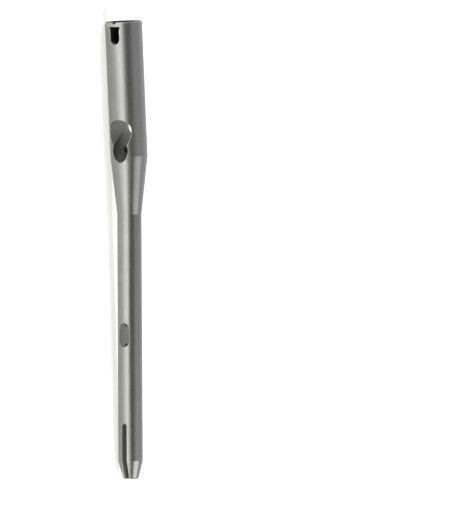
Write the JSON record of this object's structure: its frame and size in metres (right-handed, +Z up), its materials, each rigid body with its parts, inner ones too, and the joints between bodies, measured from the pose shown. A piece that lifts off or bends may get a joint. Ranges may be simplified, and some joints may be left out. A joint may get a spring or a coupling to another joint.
{
  "type": "intramedullary nail",
  "caption": "Short bent nail for the thigh bone: a wide hollow head with a threaded mouth and overlapping sloping screw holes, a slimmer shaft with a locking slot, and a tapered slit tip.",
  "frame": {"origin": "centre of the upper end face, on the axis of the threaded mouth", "axes": "+X runs down the head's axis from the upper end towards the tip, so the mouth faces -X. The outer side with the screw holes faces -Y and is rolled 17.3 degrees downwards about X, which is how the nail comes to rest on a level surface. +Z is up from that surface, which lies 8.13 mm below the origin."},
  "size_m": [0.1998, 0.0223, 0.0162],
  "materials": {
    "nail_metal": "satin titanium alloy, fine turned and blasted grain"
  },
  "bodies": {
    "root": {"nail_body": "nail_metal"}
  },
  "joints": []
}
